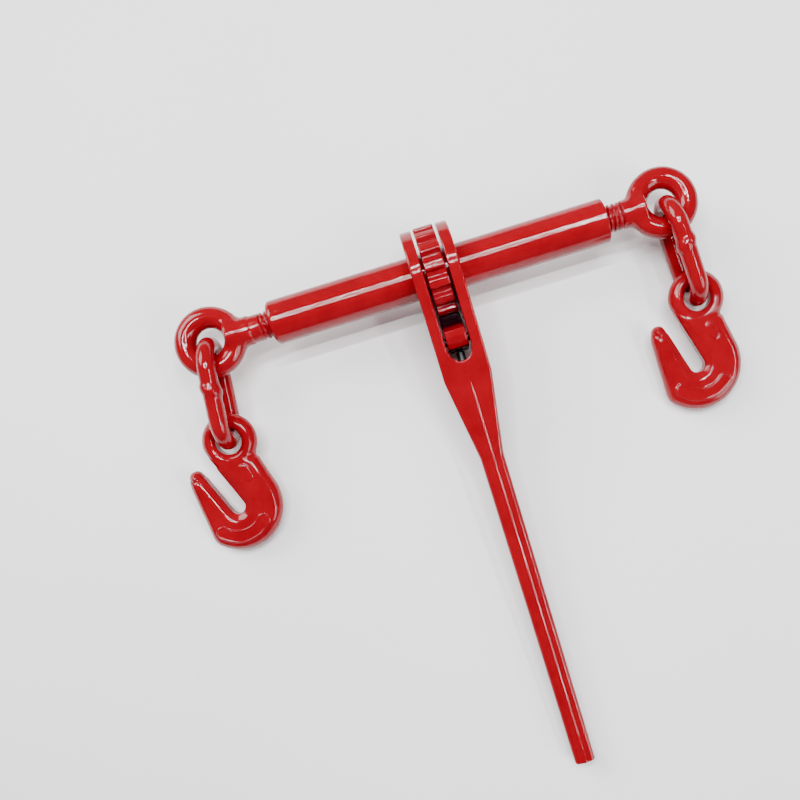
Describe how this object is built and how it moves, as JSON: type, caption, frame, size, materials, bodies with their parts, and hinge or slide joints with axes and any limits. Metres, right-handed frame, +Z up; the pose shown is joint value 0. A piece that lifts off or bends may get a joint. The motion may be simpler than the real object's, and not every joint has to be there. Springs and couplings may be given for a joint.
{
  "type": "ratchet load binder",
  "caption": "Ratchet load binder that tensions tie-down chain: a barrel turned by a ratchet handle draws in threaded eye ends, each with a link and a grab hook.",
  "frame": {"origin": "middle of the binder's box in plan, on the ground it lies on", "axes": "+X along the barrel from the left-hand eye to the right-hand eye, -Y along the handle towards its end, +Z up from the ground"},
  "size_m": [0.4199, 0.4072, 0.0677],
  "materials": {
    "red_paint": "glossy red enamel",
    "bare_steel": "turned, lightly oiled",
    "pin_steel": "ground",
    "spring_steel": "drawn wire"
  },
  "bodies": {
    "barrel": {"barrel": "red_paint", "left_end_nut": "red_paint", "right_end_nut": "red_paint", "ratchet_gear": "red_paint", "gear_drive_pins": "pin_steel"},
    "handle": {"handle": "red_paint", "pawl_pin": "pin_steel", "detent_spring": "spring_steel"},
    "pawl": {"pawl": "red_paint"},
    "detent_plunger": {"detent_plunger": "pin_steel"},
    "left_stop_washer": {"left_stop_washer": "bare_steel"},
    "right_stop_washer": {"right_stop_washer": "bare_steel"},
    "left_eye_screw": {"left_eye_screw": "red_paint", "left_stop_pin": "pin_steel"},
    "right_eye_screw": {"right_eye_screw": "red_paint", "right_stop_pin": "pin_steel"},
    "left_link": {"left_link": "red_paint"},
    "right_link": {"right_link": "red_paint"},
    "left_hook": {"left_hook": "red_paint"},
    "right_hook": {"right_hook": "red_paint"}
  },
  "joints": [
    {"name": "handle_swing", "type": "hinge", "parent": "barrel", "child": "handle", "pos_m": [0.0135, 0.168, 0.034], "axis": [1, 0, 0], "continuous": true},
    {"name": "pawl_flip", "type": "hinge", "parent": "handle", "child": "pawl", "pos_m": [0.0135, 0.11813, 0.03045], "axis": [1, 0, 0], "range_deg": [-11.4, 11.4]},
    {"name": "plunger_press", "type": "slide", "parent": "handle", "child": "detent_plunger", "axis": [0, -0.9975, -0.071], "range_m": [0, 0.003], "stiffness_N_per_m": 1500, "springref_m": -0.002, "deforming": ["detent_spring"]},
    {"name": "left_screw_travel", "type": "slide", "parent": "barrel", "child": "left_stop_washer", "axis": [-1, 0, 0], "range_m": [-0.0106, 0.0736]},
    {"name": "left_screw_turn", "type": "hinge", "parent": "left_stop_washer", "child": "left_eye_screw", "pos_m": [-0.156, 0.168, 0.034], "axis": [1, 0, 0], "range_deg": [-1080, 7560]},
    {"name": "left_link_swing", "type": "hinge", "parent": "left_eye_screw", "child": "left_link", "pos_m": [-0.156, 0.168, 0.034], "axis": [0, 0, 1], "range_deg": [-192, 28]},
    {"name": "left_hook_swing", "type": "hinge", "parent": "left_link", "child": "left_hook", "pos_m": [-0.1671, 0.09818, 0.01941], "axis": [-0.0266, -0.1384, 0.99], "range_deg": [-77, 83]},
    {"name": "right_screw_travel", "type": "slide", "parent": "barrel", "child": "right_stop_washer", "axis": [1, 0, 0], "range_m": [-0.0106, 0.0736]},
    {"name": "right_screw_turn", "type": "hinge", "parent": "right_stop_washer", "child": "right_eye_screw", "pos_m": [0.1826, 0.168, 0.034], "axis": [1, 0, 0], "range_deg": [-1080, 7560]},
    {"name": "right_link_swing", "type": "hinge", "parent": "right_eye_screw", "child": "right_link", "pos_m": [0.1826, 0.168, 0.034], "axis": [0, 0, 1], "range_deg": [-25, 195]},
    {"name": "right_hook_swing", "type": "hinge", "parent": "right_link", "child": "right_hook", "pos_m": [0.18991, 0.09768, 0.01941], "axis": [-0.0369, -0.136, 0.99], "range_deg": [-60, 100]}
  ],
  "couplings": [
    {"joint": "left_screw_travel", "follows": "left_screw_turn", "m_per_rad": 0.00055704},
    {"joint": "right_screw_travel", "follows": "right_screw_turn", "m_per_rad": 0.00055704}
  ]
}
